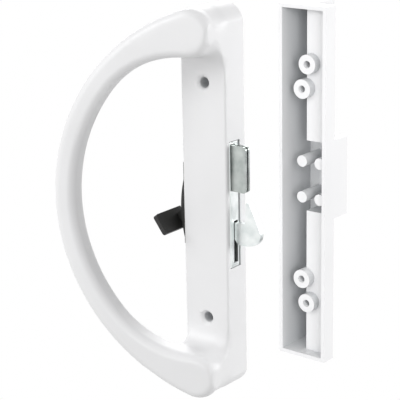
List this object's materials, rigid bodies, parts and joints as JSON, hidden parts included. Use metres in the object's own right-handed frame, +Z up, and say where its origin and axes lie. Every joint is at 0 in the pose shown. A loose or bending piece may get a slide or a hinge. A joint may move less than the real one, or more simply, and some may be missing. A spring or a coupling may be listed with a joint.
{
  "type": "sliding patio door handle",
  "caption": "Sliding patio door handle set: white D-shaped inside handle with a thumb lever that swings a hook latch, and a matching outside pull.",
  "frame": {"origin": "on the back face of the inside handle, midway between its two mounting screw holes", "axes": "+X to the right along the door toward the jamb, the way the hook points; +Y square into the door, away from the room; +Z up"},
  "size_m": [0.1305, 0.0893, 0.2044],
  "materials": {
    "white_paint": "satin white paint on a die casting",
    "zinc_plate": "bright zinc plate on sheet steel",
    "black_paint": "satin black paint",
    "black_plastic": "satin black moulding",
    "spring_steel": "blued spring strip"
  },
  "bodies": {
    "handle_set": {"inside_handle": "white_paint", "outside_pull": "white_paint", "latch_case": "zinc_plate", "guide_nose": "zinc_plate", "nose_rivets": "zinc_plate", "pivot_pin": "zinc_plate", "pivot_washer": "zinc_plate", "lever_bezel": "black_plastic", "detent_spring": "spring_steel", "spring_rivet": "zinc_plate", "case_screws": "zinc_plate"},
    "latch": {"hook": "zinc_plate", "thumb_lever": "black_paint", "drive_pin": "zinc_plate"}
  },
  "joints": [
    {"name": "latch_turn", "type": "hinge", "parent": "handle_set", "child": "latch", "pos_m": [0, -0.009, 0.0035], "axis": [0, 1, 0], "range_deg": [0, 54]}
  ]
}
